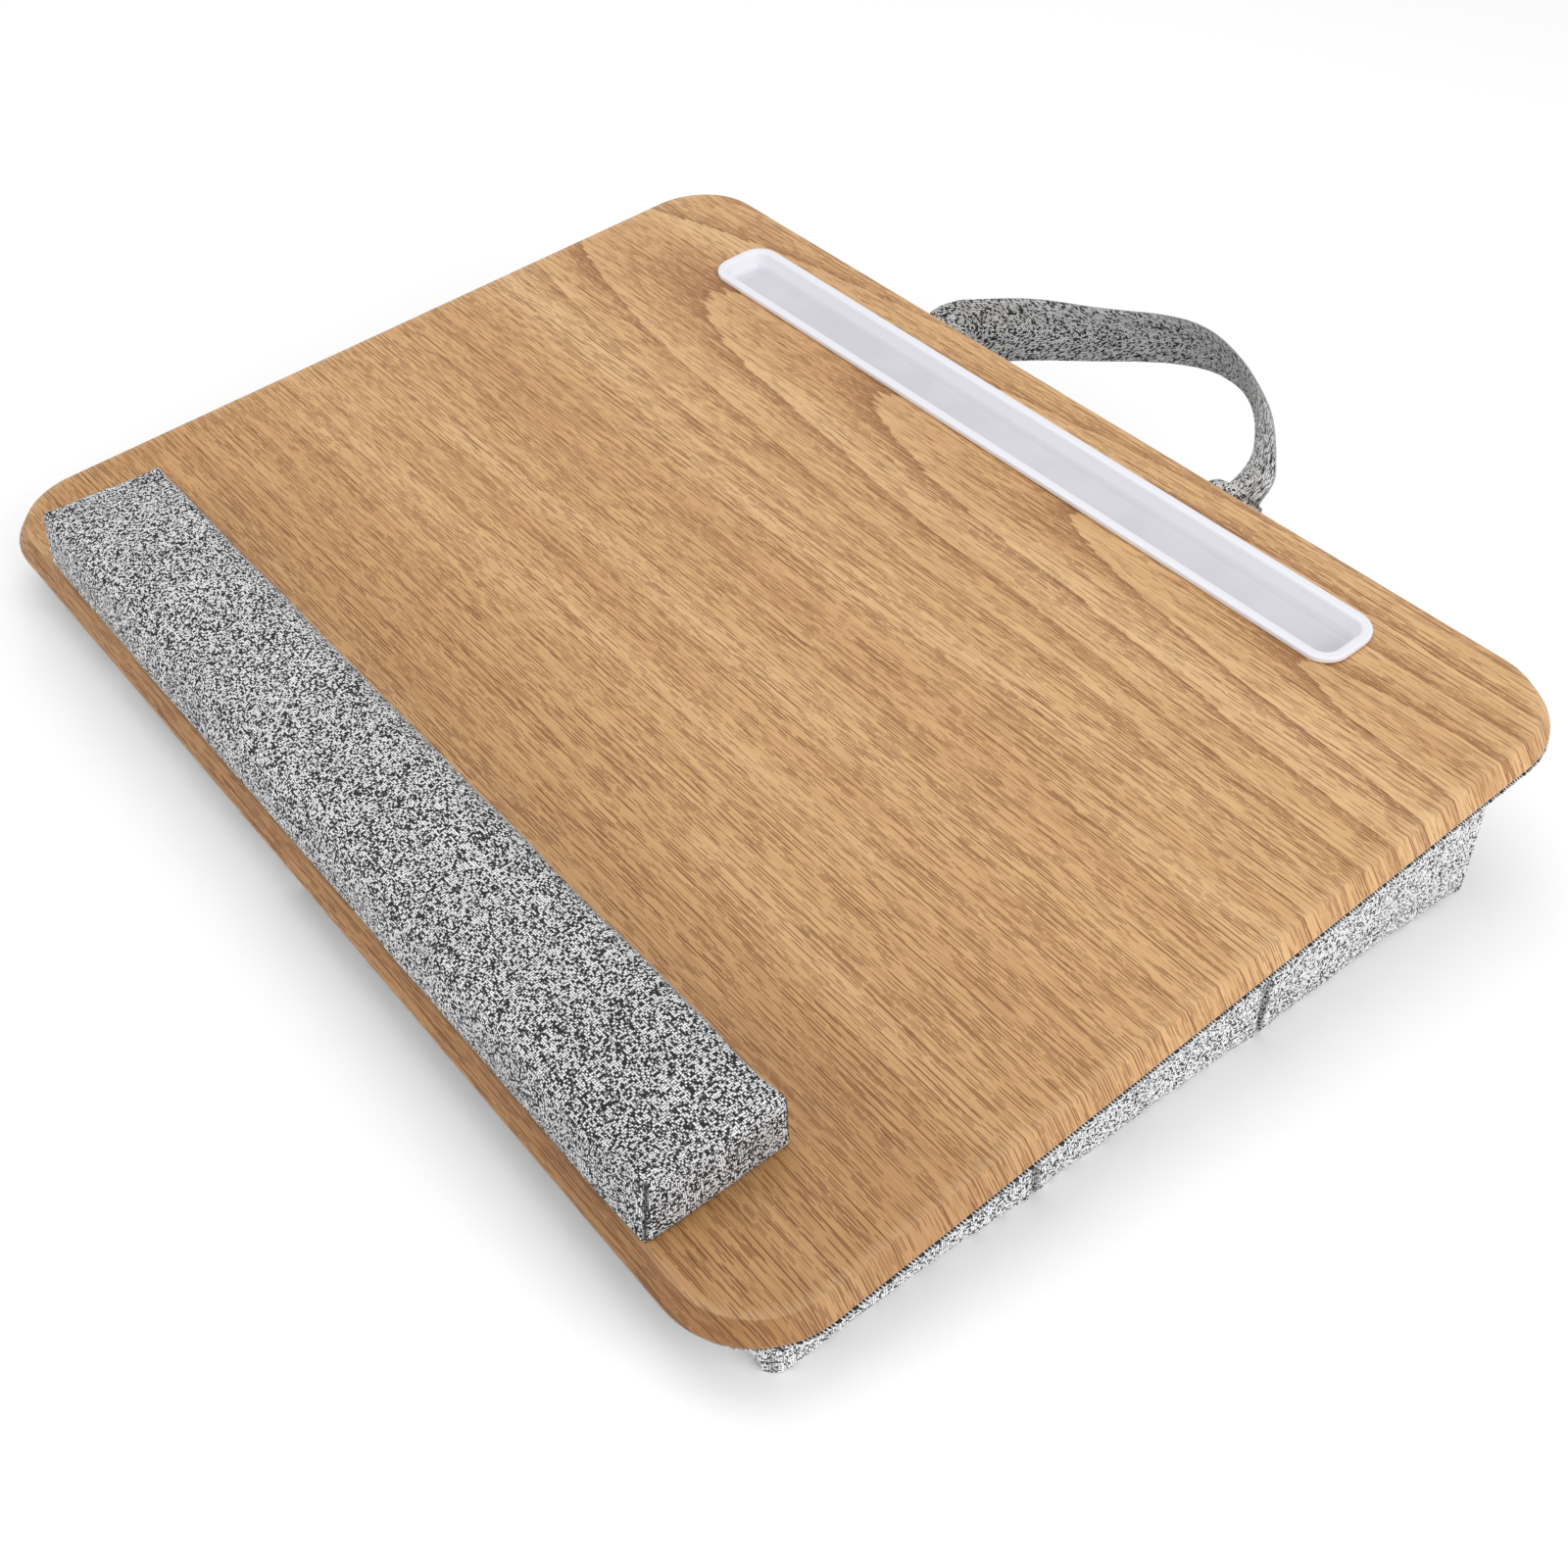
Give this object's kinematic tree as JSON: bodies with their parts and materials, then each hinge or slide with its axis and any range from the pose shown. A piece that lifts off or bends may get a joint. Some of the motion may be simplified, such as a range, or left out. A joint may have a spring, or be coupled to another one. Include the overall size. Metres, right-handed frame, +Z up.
{
  "type": "laptop bed desk",
  "caption": "Sloping lap desk: wood-look board with a bevelled edge, phone slot, fabric wrist rest, cushion pods underneath and a carry strap behind.",
  "frame": {"origin": "on the floor, under the middle of the whole desk with its strap", "axes": "+X to the user's right along the board, +Y away from the user towards the carry strap, +Z up"},
  "size_m": [0.451, 0.4002, 0.0875],
  "materials": {
    "oak_film": "satin printed oak grain",
    "mdf": "raw fibreboard",
    "white_plastic": "smooth white",
    "grey_cloth": "linen-look weave",
    "hem_cloth": "rolled and oversewn",
    "strap_cloth": "linen-look weave",
    "foam": "soft open foam",
    "base_board": "plain strip"
  },
  "bodies": {
    "desk": {"oak_film": "oak_film", "board_core": "mdf", "slot_tray": "white_plastic", "wrist_cover": "grey_cloth", "wrist_foam": "foam", "wrist_base": "base_board", "base_cloth": "grey_cloth", "hem_roll": "hem_cloth", "pod_cover_front_left": "grey_cloth", "pod_cover_front_right": "grey_cloth", "pod_cover_middle_left": "grey_cloth", "pod_cover_middle_right": "grey_cloth", "pod_cover_rear_left": "grey_cloth", "pod_cover_rear_right": "grey_cloth", "pod_foam_front_left": "foam", "pod_foam_front_right": "foam", "pod_foam_middle_left": "foam", "pod_foam_middle_right": "foam", "pod_foam_rear_left": "foam", "pod_foam_rear_right": "foam", "strap_end_left": "strap_cloth", "strap_end_right": "strap_cloth"},
    "handle": {"handle_strap": "strap_cloth"}
  },
  "joints": [
    {"name": "handle_swing", "type": "hinge", "parent": "desk", "child": "handle", "pos_m": [0, 0.13953, 0.06107], "axis": [1, 0, 0], "range_deg": [-65, 50]}
  ]
}
